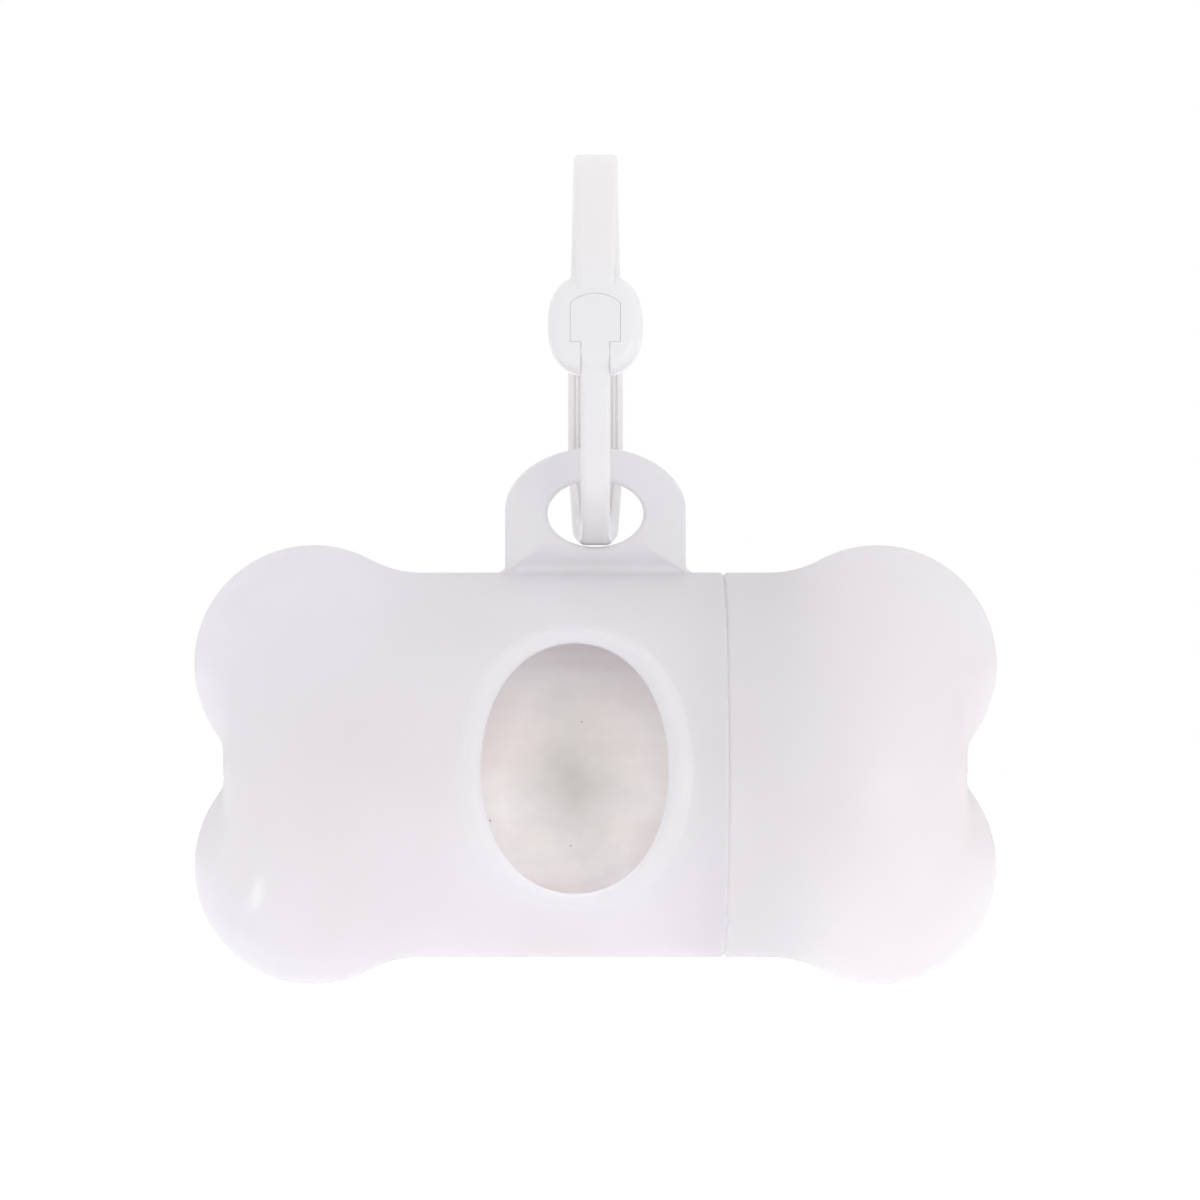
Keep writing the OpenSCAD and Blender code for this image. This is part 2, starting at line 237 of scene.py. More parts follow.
def curve_through(knots: list[Pair], steps: int) -> np.ndarray:
    """Draws a smooth curve through a few points.

    Args:
        knots: The points.
        steps: How many stretches lie between two of them.

    Returns:
        The curve's points, from the first knot to the last.
    """
    p = np.array(knots, float)
    p = np.vstack([2 * p[0] - p[1], p, 2 * p[-1] - p[-2]])
    curve = []
    for i in range(1, len(p) - 2):
        for s in np.arange(steps) / steps:
            a = -0.5 * p[i - 1] + 1.5 * p[i] - 1.5 * p[i + 1] + 0.5 * p[i + 2]
            b = p[i - 1] - 2.5 * p[i] + 2 * p[i + 1] - 0.5 * p[i + 2]
            c = 0.5 * (p[i + 1] - p[i - 1])
            curve.append(((a * s + b) * s + c) * s + p[i])
    curve.append(p[-2])
    return np.array(curve)


def full_turn(steps: int) -> np.ndarray:
    """Angles in radians at even steps round a full turn."""
    return np.arange(steps) * 2 * math.pi / steps


def wheel(x: float | np.ndarray, r: float | np.ndarray, turn: np.ndarray) -> np.ndarray:
    """Points about the x axis at these angles, with one place and radius or one for each."""
    return np.stack([np.full(len(turn), x), r * np.cos(turn), r * np.sin(turn)], 1)


def upright(flat: np.ndarray, y: float) -> np.ndarray:
    """Points in x and z, stood up at depth y."""
    return np.insert(flat, 1, y, axis=1)


def smooth(share: float) -> float:
    """Eases a share from 0 to 1 in and out, and keeps it within them."""
    share = min(max(share, 0.0), 1.0)
    return share * share * (3 - 2 * share)


def round_edge(half: float, radius: float, steps: int) -> np.ndarray:
    """Rounds the edge of a plate.

    Args:
        half: Half the plate's thickness.
        radius: The radius of its two corners.
        steps: How many stretches each corner has.

    Returns:
        Points of how far in from the edge and how far from the middle plane, back to front.
    """
    turn = np.linspace(0, QUARTER, steps + 1)
    front = np.stack([radius * (1 - np.cos(turn)), half - radius + radius * np.sin(turn)], 1)
    return np.vstack([front[::-1] * (1, -1), front])


# ---- finishes ----


class Dressing:
    """The nodes of a material or of the world, made and joined one by one."""

    def __init__(self, owner: bpy.types.Material | bpy.types.World, kind: str) -> None:
        """Leaves the owner only an output node, of the kind Material or World."""
        owner.use_nodes = True
        self.owner, self.tree = owner, owner.node_tree
        self.tree.nodes.clear()
        self.output = self.tree.nodes.new("ShaderNodeOutput" + kind)

    @classmethod
    def of(cls, name: str) -> "Dressing":
        """Starts a new material."""
        return cls(bpy.data.materials.new(name), "Material")

    def feed(self, socket: Socket, value: object) -> None:
        """Joins an input to another node's socket, or sets it to a value."""
        if isinstance(value, Socket):
            self.tree.links.new(value, socket)
        else:
            socket.default_value = value

    def node(self, kind: str, inputs: dict | None = None, **settings: object) -> bpy.types.Node:
        """Adds a node.

        Args:
            kind: The node's type, without its ShaderNode prefix.
            inputs: Values or sockets for its inputs, by name or number.
            settings: Its other settings.

        Returns:
            The node.
        """
        node = self.tree.nodes.new("ShaderNode" + kind)
        for key, value in settings.items():
            setattr(node, key, value)
        for key, value in (inputs or {}).items():
            self.feed(node.inputs[key], value)
        return node

    def place(self) -> Socket:
        """The place on the piece, in metres."""
        return self.node("TexCoord").outputs["Object"]

    def noise(self, scale: float, detail: float = 3.0, rough: float = 0.5) -> Socket:
        """Adds noise, with scale in waves a metre."""
        values = {"Vector": self.place(), "Scale": scale, "Detail": detail, "Roughness": rough}
        return self.node("TexNoise", values).outputs["Fac"]

    def between(
        self, share: Socket, low: float, high: float, start: float = 0.0, end: float = 1.0
    ) -> Socket:
        """Maps a value.

        Args:
            share: The value.
            low: Where its range starts.
            high: Where its range ends.
            start: What the range's start becomes.
            end: What the range's end becomes.

        Returns:
            The mapped value, kept within start and end.
        """
        values = {0: share, 1: low, 2: high, 3: start, 4: end}
        return self.node("MapRange", values).outputs[0]

    def maths(self, operation: str, *values: object, kind: str = "Math") -> Socket:
        """Adds a sum by its operation's name, of values or sockets."""
        return self.node(kind, dict(enumerate(values)), operation=operation).outputs[0]

    def blend(self, share: object, first: object, second: object) -> Socket:
        """Mixes two colours, sockets or screen values, by share from the first to the second."""
        ends = [c if isinstance(c, Socket) else linear(*c) for c in (first, second)]
        mix = self.node("Mix", {0: share, 6: ends[0], 7: ends[1]}, data_type="RGBA")
        return mix.outputs[2]

    def bump(self, strength: float, depth: float, height: Socket, **more: object) -> Socket:
        """Adds a bump as deep as depth in metres, with any more of its inputs."""
        values = {"Strength": strength, "Distance": depth, "Height": height}
        return self.node("Bump", {**values, **more}).outputs[0]

    def principled(
        self, colour: object, roughness: object, normal: object, more: dict | None = None
    ) -> Socket:
        """Adds the main shader, with any more of its inputs."""
        values = {"Base Color": colour, "Roughness": roughness, "Normal": normal}
        return self.node("BsdfPrincipled", {**values, **(more or {})}).outputs[0]

    def mix(self, share: object, first: object, second: object) -> Socket:
        """Mixes two shaders, by share from the first to the second."""
        return self.node("MixShader", {0: share, 1: first, 2: second}).outputs[0]

    def finish(self, shader: Socket) -> bpy.types.Material | bpy.types.World:
        """Joins the shader to the output, and returns the owner."""
        self.feed(self.output.inputs["Surface"], shader)
        return self.owner


def linear(red: float, green: float, blue: float) -> tuple[float, float, float, float]:
    """Turns a colour's 0 to 255 screen values into the linear colour that a shader takes."""
    shares = [v / 255 for v in (red, green, blue)]
    values = [s / 12.92 if s <= 0.04045 else ((s + 0.055) / 1.055) ** 2.4 for s in shares]
    return (*values, 1.0)


@dataclass(frozen=True)
class MilkyPlastic:
    """Satin moulded plastic, milky: thin walls let light through, thick places less."""

    name: str
    tint: Triple = (249.5, 248.8, 251.3)
    cloud: Triple = (247.2, 245.9, 247.9)
    # The thick tint is thicker plastic's tone, and also painted shade on the hanger and painted
    # shading on the window's lip.
    thick: Triple = (240, 239, 241.5)
    roughness: Pair = (0.2, 0.26)
    clear: float = 0.6
    thick_clear: float = 0.12
    ior: float = 1.52
    cloud_scale: float = 55.0
    sheen_scale: float = 160.0
    wave_scale: float = 70.0
    wave_depth: float = 0.0004
    grain_scale: float = 3600.0
    grain_depth: float = 0.00004

    def material(self) -> bpy.types.Material:
        """Makes the plastic: clouded colour, fine eroded grain, slow moulding waves."""
        d = Dressing.of(self.name)
        clouds = d.between(d.noise(self.cloud_scale, 4.0), 0.35, 0.65)
        base = d.blend(clouds, self.tint, self.cloud)
        # The point attribute read here mixes in the thick tint: partly thicker plastic, partly
        # painted shade.
        milk_and_shade = d.node("Attribute", attribute_name="milk_and_shade").outputs["Fac"]
        colour = d.blend(milk_and_shade, base, self.thick)
        sheen = d.between(d.noise(self.sheen_scale, 4.0), 0.3, 0.7, *self.roughness)
        waves = d.bump(0.25, self.wave_depth, d.noise(self.wave_scale, 1.0))
        grain = d.bump(0.18, self.grain_depth, d.noise(self.grain_scale, 3.0, 0.6), Normal=waves)
        shader = d.principled(colour, sheen, grain, {"IOR": self.ior})
        through = d.node("BsdfTranslucent", {"Color": colour, "Normal": grain}).outputs[0]
        share = d.between(milk_and_shade, 0.0, 1.0, self.clear, self.thick_clear)
        return d.finish(d.mix(share, shader, through))


@dataclass(frozen=True)
class BagFilm:
    """Thin soft film, many layers deep: cloudy, with faint folds, a painted shade patch and fine
    dust.
    """

    name: str
    tint: Triple = (245, 240, 238)
    shade: Triple = (238, 228, 225)
    # painted shade: the dark tone of the patch behind the window's middle
    painted_shade: Triple = (190, 187, 184)
    speck: Triple = (150, 141, 136)
    roughness: Pair = (0.38, 0.52)
    # where the painted shade patch lies and how big it is, in metres
    shade_spot_at: Triple = (-0.0022, -0.0148, -0.0605)
    shade_spot_form: Triple = (1.15, 1.0, 0.65)
    shade_spot_core: float = 0.003
    shade_spot_r: float = 0.0085
    ragged: float = 0.007
    ragged_scale: float = 190.0
    stretch: Triple = (0.12, 1.0, 1.0)
    fold_scale: float = 260.0
    fold_depth: float = 0.0002
    cloud_scale: float = 95.0
    sheen_scale: float = 120.0
    dust_scale: float = 420.0
    dust_edge: Pair = (0.025, 0.05)
    lying_scale: float = 240.0

    def material(self) -> bpy.types.Material:
        """Makes the film: cloudy layers, folds along the roll, the painted shade patch and the
        dust.
        """
        d = Dressing.of(self.name)
        stretched = d.node("Mapping", {"Vector": d.place(), "Scale": self.stretch}).outputs[0]
        along = {"Vector": stretched, "Scale": self.fold_scale, "Detail": 4.0}
        folds = d.node("TexNoise", along).outputs["Fac"]
        clouds = d.maths("ADD", folds, d.noise(self.cloud_scale, 2.0))
        base = d.blend(d.between(clouds, 0.8, 1.2), self.tint, self.shade)
        # Painted shade: a darker patch with a ragged edge, centred behind the window's middle,
        # stands in for shade there.
        off = d.maths("SUBTRACT", d.place(), self.shade_spot_at, kind="VectorMath")
        tall = d.maths("MULTIPLY", off, self.shade_spot_form, kind="VectorMath")
        away = d.node("VectorMath", {0: tall}, operation="LENGTH").outputs["Value"]
        ragged = d.maths("MULTIPLY_ADD", d.noise(self.ragged_scale, 3.0), self.ragged, away)
        patch = d.between(ragged, self.shade_spot_core, self.shade_spot_core + self.shade_spot_r, 1.0, 0.0)
        with_painted_shade = d.blend(patch, base, self.painted_shade)
        cells = d.node("TexVoronoi", {"Vector": d.place(), "Scale": self.dust_scale})
        dust = d.between(cells.outputs["Distance"], *self.dust_edge, 1.0, 0.0)
        lying = d.between(d.noise(self.lying_scale, 0.0), 0.4, 0.6)
        specks = d.maths("MULTIPLY", dust, lying)
        colour = d.blend(specks, with_painted_shade, self.speck)
        roughness = d.between(d.noise(self.sheen_scale), 0.3, 0.7, *self.roughness)
        soft = {
            "Subsurface Weight": 0.15,
            "Subsurface Radius": (1.0, 0.9, 0.85),
            "Subsurface Scale": 0.6 * MM,
        }
        return d.finish(d.principled(colour, roughness, d.bump(0.2, self.fold_depth, folds), soft))


@dataclass(frozen=True)
class CoreBoard:
    """Grey-brown board, wound on a slant, with fibres."""

    name: str
    tint: Triple = (196, 178, 150)
    fibre: Triple = (162, 142, 114)
    roughness: Pair = (0.8, 0.95)
    fibre_scale: float = 900.0
    ply_scale: float = 40.0
    depth: float = 0.0001

    def material(self) -> bpy.types.Material:
        """Makes the board: slanting plies with a fibrous tone and a rough face."""
        d = Dressing.of(self.name)
        fibres = d.noise(self.fibre_scale, 6.0, 0.7)
        wave = {"Vector": d.place(), "Scale": self.ply_scale, "Distortion": 1.5}
        plies = d.node("TexWave", wave, bands_direction="DIAGONAL").outputs["Fac"]
        tone = d.between(d.maths("MULTIPLY", fibres, plies), 0.1, 0.6)
        colour = d.blend(tone, self.fibre, self.tint)
        roughness = d.between(fibres, 0.3, 0.7, *self.roughness)
        return d.finish(d.principled(colour, roughness, d.bump(0.5, self.depth, fibres)))


Finish = MilkyPlastic | BagFilm | CoreBoard

# ---- the bone's form ----


@dataclass(frozen=True)
class BoneForm:
    """The form that case and cap share: a barrel whose ends swell into two lobes each."""

    barrel_r: float = 19.6
    wall: float = 1.8
    lobe_x: float = 28.75
    lobe_z: float = 10.25
    lobe_r: float = 12.15
    waist_x: float = 37.5
    shoulder_r: float = 10.8
    hub_x: float = 15.0
    end_power: float = 3.4
    lobe_spread: float = 3.0
    turns: int = 144
    sweep: int = 60

    @property
    def turn(self) -> np.ndarray:
        """The angles about the barrel's axis, from the back over the top, in radians."""
        return full_turn(self.turns)

    @property
    def shoulder(self) -> Pair:
        """The centre of the hollow shoulder in the front outline."""
        z = self.barrel_r + self.shoulder_r
        span = (self.lobe_r + self.shoulder_r) ** 2 - (z - self.lobe_z) ** 2
        return self.lobe_x - math.sqrt(span), z

    @property
    def waist(self) -> Pair:
        """The centre and the radius of the hollow between two lobes, on the barrel's axis."""
        step = self.waist_x - self.lobe_x
        radius = (step**2 + self.lobe_z**2 - self.lobe_r**2) / (2 * (self.lobe_r - step))
        return self.waist_x + radius, radius

    def circle_reach(self, cx: float, cz: float, r: float, psi: float, side: int) -> float:
        """The distance from the hub to a circle in the front outline, in direction psi."""
        dx = cx - self.hub_x
        along = dx * math.cos(psi) + cz * math.sin(psi)
        return along + side * math.sqrt(max(along**2 - (dx**2 + cz**2 - r**2), 0.0))

    def meeting(self, cx: float, cz: float, inset: float) -> float:
        """The direction from the hub in which a lobe's arc meets the one about cx, cz."""
        share = (self.lobe_r - inset) / math.hypot(cx - self.lobe_x, cz - self.lobe_z)
        z = self.lobe_z + (cz - self.lobe_z) * share
        return math.atan2(z, self.lobe_x + (cx - self.lobe_x) * share - self.hub_x)

    def front_reach(self, psi: float, inset: float) -> float:
        """The distance from the hub to the front outline, inset by the given depth."""
        shoulder_x, shoulder_z = self.shoulder
        waist_c, waist_r = self.waist
        if psi < self.meeting(waist_c, 0, inset):
            return self.circle_reach(waist_c, 0, waist_r + inset, psi, -1)
        if psi < self.meeting(shoulder_x, shoulder_z, inset):
            return self.circle_reach(self.lobe_x, self.lobe_z, self.lobe_r - inset, psi, 1)
        if psi < math.atan2(self.barrel_r - inset, shoulder_x - self.hub_x):
            radius = self.shoulder_r + inset
            return self.circle_reach(shoulder_x, shoulder_z, radius, psi, -1)
        return (self.barrel_r - inset) / math.sin(psi)

    def plan_reach(self, psi: float, inset: float) -> float:
        """The distance from the hub to the outline seen from above."""
        along = (math.cos(psi) / (self.waist_x - self.hub_x - inset)) ** self.end_power
        across = (math.sin(psi) / (self.barrel_r - inset)) ** self.end_power
        return (along + across) ** (-1 / self.end_power)

    def skin(self, psi: float, inset: float, side: int) -> np.ndarray:
        """A ring of the end's skin.

        Args:
            psi: Its direction from the end's axis, in radians.
            inset: How deep under the outside it lies.
            side: 1 for the cap's end, -1 for the case's.

        Returns:
            The ring's points.
        """
        plan = self.plan_reach(psi, inset)
        lobe = np.abs(np.sin(self.turn)) ** self.lobe_spread
        reach = plan + (self.front_reach(psi, inset) - plan) * lobe
        x = side * (self.hub_x + reach * math.cos(psi))
        r = reach * math.sin(psi)
        return wheel(x, r, self.turn)

    def ring(self, x: float, r: float) -> np.ndarray:
        """A plain ring of the barrel, at x with radius r."""
        return wheel(x, r, self.turn)

    def rings(self, surface: Surface, places: list[Pair]) -> list[np.ndarray]:
        """Adds a plain ring for each place along the barrel and radius, and returns the rows."""
        return [surface.add(self.ring(x, r)) for x, r in places]

    def end(self, surface: Surface, inset: float, side: int, widest: float) -> list[np.ndarray]:
        """Adds the skin of one end.

        Args:
            surface: Where it is added.
            inset: How deep under the outside it lies.
            side: 1 for the cap's end, -1 for the case's.
            widest: The direction in degrees at which it starts.

        Returns:
            The rows from the start to the last ring, which a fan closes.
        """
        steps = round(self.sweep * widest / 90)
        rows = []
        for psi in np.radians(np.linspace(widest, 0, steps + 1)[:-1]):
            rows.append(surface.add(self.skin(psi, inset, side)))
        tip = surface.add([(side * (self.waist_x - inset), 0, 0)])
        surface.loft(rows)
        surface.fan(rows[-1], tip)
        return rows

    def bevel(self, x: float, size: float, side: int, steps: int = 4) -> list[np.ndarray]:
        """Rounds the barrel's edge at x, from the skin to the end face.

        Args:
            x: Where the end face lies.
            size: The rounding's radius.
            side: 1 where the face looks along x, -1 where it looks back.
            steps: How many stretches it has.

        Returns:
            The rings' points.
        """
        turn = np.linspace(0, QUARTER, steps + 1)
        return [
            self.ring(x - side * size * (1 - math.sin(a)), self.barrel_r - size * (1 - math.cos(a)))
            for a in turn
        ]


# ---- the case ----


@dataclass
class Case:
    """The long end of the bone: shell, window with its lip, collar and hanger."""

    form: BoneForm
    finish: MilkyPlastic
    up: float
    seam_x: float = 13.0
    seam_bevel: float = 0.45
    window_w: float = 18.2
    window_h: float = 24.6
    window_x: float = -2.0
    window_up: float = 0.3
    patch_end_x: float = 11.2
    patch_cells: int = 26
    patch_half: int = 23
    patch_rings: int = 5
    lip: tuple[Pair, ...] = (
        (2.75, 0.0), (2.3, 0.07), (1.85, 0.29), (1.35, 0.45), (0.85, 0.41), (0.4, 0.16),
        (0.08, -0.3), (0.0, -0.85), (0.1, -1.35), (0.45, -1.72), (0.9, -1.8),
    )
    lip_steps: int = 3
    # painted shading on the lip: its milky tone above and at the bottom, partly the rolled lip's
    # thicker plastic
    lip_milk_and_shading: float = 0.3
    lip_low_milk_and_shading: float = 0.0
    lip_low_rise: float = 0.6
    lip_ease: float = 0.3
    lip_ease_w: float = 1.6
    low_power: float = 1.5
    collar_r: float = 18.5
    collar_t: float = 1.0
    collar_l: float = 8.0
    collar_root: float = 1.5
    collar_edge: float = 0.25
    notch_l: float = 4.7
    notch_half: int = 2
    hanger_w: float = 18.4
    hanger_t: float = 3.0
    hanger_top: float = 32.3
    hanger_arch: float = 6.4
    hanger_edge: float = 0.45
    eye_w: float = 9.8
    eye_h: float = 6.8
    eye_z: float = 25.6
    # painted shade on the hanger: its milky tone is partly the solid plate's thicker plastic,
    # darkest towards its foot and on into the fillet
    hanger_milk_and_shade: float = 0.75
    hanger_shade_fade: float = 0.4
    foot_shade: float = 0.45
    eye_steps: int = 160
    edge_steps: int = 6
    foot_depth: float = 0.25
    flare_r: float = 0.9
    flare_steps: int = 12
    flare_sink: float = 0.3
    flare_dip: float = 0.01
    flare_arc: int = 24
    sharp: float = 38.0
    surface: Surface = field(default_factory=Surface)

    def lowness(self, t: np.ndarray) -> np.ndarray:
        """How far down round the window each angle lies, from 0 above its middle to 1."""
        return np.clip(-np.sin(t), 0, 1) ** self.low_power

    def window_point(self, t: np.ndarray, out: float, rise: float) -> np.ndarray:
        """Points round the window.

        Under the skin they keep their height, so that the opening's wall runs straight back.

        Args:
            t: The angles round the opening's ellipse, in radians.
            out: How far out from the opening's edge, along the skin.
            rise: How far above the skin.

        Returns:
            The points.
        """
        r = self.form.barrel_r
        a, b = self.window_w / 2, r * math.asin(self.window_h / 2 / r)
        normal = np.stack([b * np.cos(t), a * np.sin(t)], 1)
        normal /= np.linalg.norm(normal, axis=1)[:, None]
        along = a * np.cos(t) + normal[:, 0] * out
        arc = b * np.sin(t) + normal[:, 1] * out + self.window_up
        proud = max(rise, 0.0) * (1 + (self.lip_low_rise - 1) * self.lowness(t))
        points = self.on_skin(np.stack([along, arc], 1), proud)
        if rise < 0:
            points[:, 1] = -np.sqrt((r + rise) ** 2 - points[:, 2] ** 2)
        return points

    def on_skin(self, flat: np.ndarray, rise: float | np.ndarray) -> np.ndarray:
        """Lays points of the unrolled skin, measured from the window's middle, on the barrel."""
        turn = flat[:, 1] / self.form.barrel_r
        r = self.form.barrel_r + rise
        return np.stack([self.window_x + flat[:, 0], -r * np.cos(turn), r * np.sin(turn)], 1)

    def unrolled(self, points: np.ndarray) -> np.ndarray:
        """The other way round: points of the barrel's front on the unrolled skin."""
        turn = np.arctan2(points[:, 2], -points[:, 1])
        return np.stack([points[:, 0] - self.window_x, turn * self.form.barrel_r], 1)

    def barrel(self, r: float) -> tuple[list[np.ndarray], np.ndarray]:
        """Adds the barrel between the end's skin and the patch's end, with a gap for the window.

        Args:
            r: The barrel's radius.

        Returns:
            The rows, and the numbers of the points round the gap.
        """
        s, middle = self.surface, self.form.turns // 2
        low, high = middle - self.patch_half, middle + self.patch_half
        lines = np.linspace(-self.form.hub_x, self.patch_end_x, self.patch_cells + 1)
        rows = self.form.rings(s, [(x, r) for x in lines])
        kept = self.form.turns - high + low + 1
        s.loft([np.roll(row, -high)[:kept] for row in rows], closed=False)
        gap = np.concatenate([
            [row[low] for row in rows[:-1]],
            rows[-1][low:high],
            [row[high] for row in rows[:0:-1]],
            rows[0][high:low:-1],
        ])
        return rows, gap

    def build_window(self, outer: np.ndarray, inner: np.ndarray) -> None:
        """Adds the patch round the window, from one skin's gap over the lip to the other's."""
        s, r = self.surface, self.form.barrel_r
        points = np.concatenate(s.points)
        flat = self.unrolled(points[outer])
        spans = np.array([self.window_w / 2, r * math.asin(self.window_h / 2 / r)]) + self.lip[0][0]
        t = np.arctan2((flat[:, 1] - self.window_up) / spans[1], flat[:, 0] / spans[0])
        section = curve_through(list(self.lip), self.lip_steps)
        rows = [outer]
        foot = self.unrolled(self.window_point(t, section[0][0], 0))
        for share in np.linspace(0, 1, self.patch_rings + 1)[1:-1]:
            rows.append(s.add(self.on_skin(flat + (foot - flat) * share, 0)))
        for out, rise in section:
            # Painted shading: the lip's milky tone is partly its thicker rolled plastic and partly
            # painted, even over the upper half and fading to none at the bottom.
            most = self.lip_milk_and_shading + (self.lip_low_milk_and_shading - self.lip_milk_and_shading) * self.lowness(t)
            share = smooth((self.lip[0][0] + self.lip_ease - out) / self.lip_ease_w)
            rows.append(s.add(self.window_point(t, out, rise), most * share))
        foot = self.unrolled(self.window_point(t, *section[-1]))
        for share in np.linspace(1, 0, self.patch_rings + 1)[1:-1]:
            rows.append(s.add(self.on_skin(flat + (foot - flat) * share, -self.form.wall)))
        s.loft(rows + [inner])

    def build_shell(self) -> None:
        """Adds the shell: both skins, the window, the seam's edge and the collar."""
        s, form = self.surface, self.form
        outer_end = form.end(s, 0, -1, 90 - 90 / form.sweep)
        inner_end = form.end(s, form.wall, -1, 90 - 90 / form.sweep)
        outer, outer_gap = self.barrel(form.barrel_r)
        inner, inner_gap = self.barrel(form.barrel_r - form.wall)
        s.strip(outer_end[0], outer[0])
        s.strip(inner_end[0], inner[0])
        self.build_window(outer_gap, inner_gap)
        seam = [s.add(p) for p in form.bevel(self.seam_x, self.seam_bevel, 1)]
        s.loft([outer[-1], *seam])
        self.build_collar(seam[-1], inner[-1])

    def build_collar(self, seam: np.ndarray, inside: np.ndarray) -> None:
        """Adds the collar that the cap slides on.

        Args:
            seam: The row where the end face starts.
            inside: The last row of the barrel's inside.
        """
        s, form = self.surface, self.form
        tip, edge = self.seam_x + self.collar_l, self.collar_edge
        r, bore = self.collar_r, self.collar_r - self.collar_t
        notch_x = tip - self.notch_l
        end = self.seam_x - self.collar_root
        root = form.rings(s, [(self.seam_x, r), (notch_x, r)])
        section = [(tip - edge, r), (tip, r - edge), (tip, bore + edge), (tip - edge, bore)]
        rim = form.rings(s, section)
        back = form.rings(s, [(notch_x, bore), (end, bore), (end, form.barrel_r - form.wall)])
        s.loft([seam, *root])
        s.loft([*back, inside])
        middle = form.turns // 4
        low, high = middle - self.notch_half, middle + self.notch_half
        ring = [root[-1], *rim, back[0]]
        kept = form.turns - 2 * self.notch_half + 1
        s.loft([np.roll(row, -high)[:kept] for row in ring], closed=False)
        s.strip(root[-1][low : high + 1], back[0][low : high + 1], closed=False)
        for j in (low, high):
            s.faces.append(tuple(row[j] for row in ring))

    def outline(self, t: np.ndarray) -> tuple[np.ndarray, np.ndarray]:
        """The hanger's outline: an arch above, straight sides and a foot below.

        Args:
            t: The angles round it, in radians.

        Returns:
            Its points and its normals there, in x and z.
        """
        arch_z = self.hanger_top - self.hanger_arch
        foot_z = self.form.barrel_r - self.form.wall + self.foot_depth
        way = np.stack([np.cos(t), np.sin(t)], 1)
        square = way / np.abs(way).max(1)[:, None]
        upper = (way[:, 1] >= 0)[:, None]
        arch = way * (self.hanger_w / 2, self.hanger_arch)
        foot = square * (self.hanger_w / 2, arch_z - foot_z)
        normal = np.where(upper, way * (self.hanger_arch, self.hanger_w / 2), way)
        normal /= np.linalg.norm(normal, axis=1)[:, None]
        return np.where(upper, arch, foot) + (0, arch_z), normal

    def build_hanger(self) -> Piece:
        """Makes the hanger plate, in slices from its outline to its eye."""
        s = Surface()
        t = full_turn(self.eye_steps)
        rim, rim_n = self.outline(t)
        eye = np.stack([self.eye_w / 2 * np.cos(t), self.eye_z + self.eye_h / 2 * np.sin(t)], 1)
        eye_n = np.stack([self.eye_h * np.cos(t), self.eye_w * np.sin(t)], 1)
        eye_n /= np.linalg.norm(eye_n, axis=1)[:, None]
        edge = round_edge(self.hanger_t / 2, self.hanger_edge, self.edge_steps)
        slices = [(rim - rim_n * inset, y) for inset, y in edge]
        slices += [(eye + eye_n * inset, y) for inset, y in edge[::-1]]
        # Painted shade: the hanger's milky tone darkens it most at its foot.
        rows = [s.add(upright(flat, y), self.plate_shade(flat[:, 1])) for flat, y in slices]
        s.loft(rows, ring=True)
        return s.build("hanger", self.up)

    def plate_shade(self, z: np.ndarray) -> np.ndarray:
        """Returns the hanger's milky tone at each height: partly thicker plastic, partly painted
        shade, most of all at its foot.
        """
        return np.clip(self.hanger_milk_and_shade - self.hanger_shade_fade * (z - self.eye_z) / self.eye_h, 0, 1)

    def build_flare(self) -> Piece:
        """Makes the hollow fillet round the hanger's foot."""
        s, r, half = Surface(), self.form.barrel_r, self.hanger_t / 2
        arc = np.linspace(-QUARTER, QUARTER, self.flare_arc + 1)
        side = (self.hanger_w - self.hanger_t) / 2
        normal = np.stack([np.cos(arc), np.sin(arc)], 1)
        normal = np.concatenate([normal, -normal])
        centre = np.repeat([side, -side], len(arc))
        size, sink = self.flare_r, self.flare_sink
        turn = np.linspace(0, QUARTER, self.flare_steps + 1)
        dip = self.flare_dip
        section = [(size * (1 - math.sin(a)), size * (1 - math.cos(a)) - dip) for a in turn]
        section += [(-sink, size), (-sink, -sink), (size, -sink)]
        rows = []
        for out, rise in section:
            x = centre + normal[:, 0] * (half + out)
            y = normal[:, 1] * (half + out)
            # Painted shade: the fillet's milky tone is strongest against the plate and fades out
            # onto the barrel.
            milk_and_shade = self.foot_shade * smooth(1 - out / size)
            rows.append(s.add(np.stack([x, y, np.sqrt(r**2 - y**2) + rise], 1), milk_and_shade))
        s.loft(rows, ring=True)
        return s.build("hanger_foot", self.up)

    def build(self) -> Piece:
        """Builds the piece, dresses it and puts it on its body."""
        self.build_shell()
        piece = self.surface.build("case_shell", self.up)
        hanger = self.build_hanger()
        carve(hanger, self.build_flare(), "UNION", self.sharp)
        carve(piece, hanger, "UNION", self.sharp)
        return seat(piece, self.finish, Body.CASE, "case_body")


